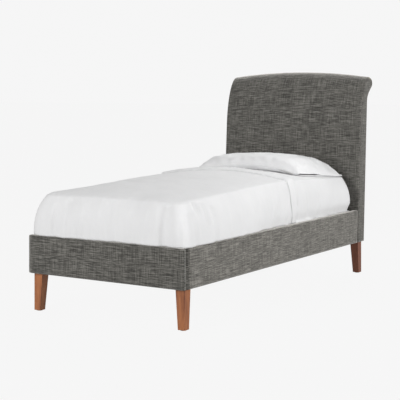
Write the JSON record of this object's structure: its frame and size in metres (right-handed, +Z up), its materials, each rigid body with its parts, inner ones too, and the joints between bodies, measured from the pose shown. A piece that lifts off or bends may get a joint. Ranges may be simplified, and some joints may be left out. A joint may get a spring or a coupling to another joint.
{
  "type": "upholstered sleigh bed",
  "caption": "Upholstered sleigh bed: padded rails on square tapered legs, a headboard that sweeps back into a crowned scroll, with a made-up mattress and a pillow.",
  "frame": {"origin": "on the floor, under the middle of the bed's overall length and width", "axes": "+X across the bed towards the right-hand side seen from the foot, +Y from the foot to the headboard, +Z up"},
  "size_m": [1.06, 2.364, 1.368],
  "materials": {
    "stained_wood": "satin stain",
    "glide": "matte",
    "zinc_steel": "zinc plated",
    "webbing": "woven",
    "foam": "open-cell foam",
    "upholstery": "grey tweed weave",
    "plywood": "unfinished",
    "softwood": "unfinished",
    "ticking": "woven",
    "sheeting": "plain white cotton"
  },
  "bodies": {
    "bed_frame": {"leg_front_left": "stained_wood", "leg_front_right": "stained_wood", "leg_back_left": "stained_wood", "leg_back_right": "stained_wood", "leg_glides": "glide", "leg_bolts": "zinc_steel", "leg_nuts": "zinc_steel", "side_board_left": "softwood", "side_board_right": "softwood", "foot_board": "softwood", "side_foam_left": "foam", "side_foam_right": "foam", "foot_foam": "foam", "side_cover_left": "upholstery", "side_cover_right": "upholstery", "foot_cover": "upholstery", "foot_end_left": "upholstery", "foot_end_right": "upholstery", "foot_welts": "upholstery", "corner_block_left": "softwood", "corner_block_right": "softwood", "corner_bolts": "zinc_steel", "head_bracket_left": "zinc_steel", "head_bracket_right": "zinc_steel", "bracket_bolts": "zinc_steel", "ledger_left": "softwood", "ledger_right": "softwood", "ledger_screws": "zinc_steel", "slat_01": "softwood", "slat_02": "softwood", "slat_03": "softwood", "slat_04": "softwood", "slat_05": "softwood", "slat_06": "softwood", "slat_07": "softwood", "slat_08": "softwood", "slat_09": "softwood", "slat_10": "softwood", "slat_11": "softwood", "slat_12": "softwood", "slat_13": "softwood", "slat_tapes": "webbing", "slat_screws": "zinc_steel", "post_left": "softwood", "post_right": "softwood", "cross_rails": "softwood", "scroll_ribs": "plywood", "head_front_board": "plywood", "scroll_board": "plywood", "head_foam": "foam", "head_cover": "upholstery", "head_end_left": "upholstery", "head_end_right": "upholstery", "scroll_back_cover": "upholstery", "head_back_cover": "upholstery"},
    "mattress_set": {"mattress": "ticking", "fitted_sheet": "sheeting", "top_sheet": "sheeting"},
    "pillow_set": {"pillow": "ticking", "pillowcase": "sheeting"}
  },
  "joints": [
    {"name": "mattress_lift", "type": "slide", "parent": "bed_frame", "child": "mattress_set", "axis": [0, 0, 1], "range_m": [0, 0.3]},
    {"name": "pillow_lift", "type": "slide", "parent": "mattress_set", "child": "pillow_set", "axis": [0, 0, 1], "range_m": [0, 0.3]}
  ]
}
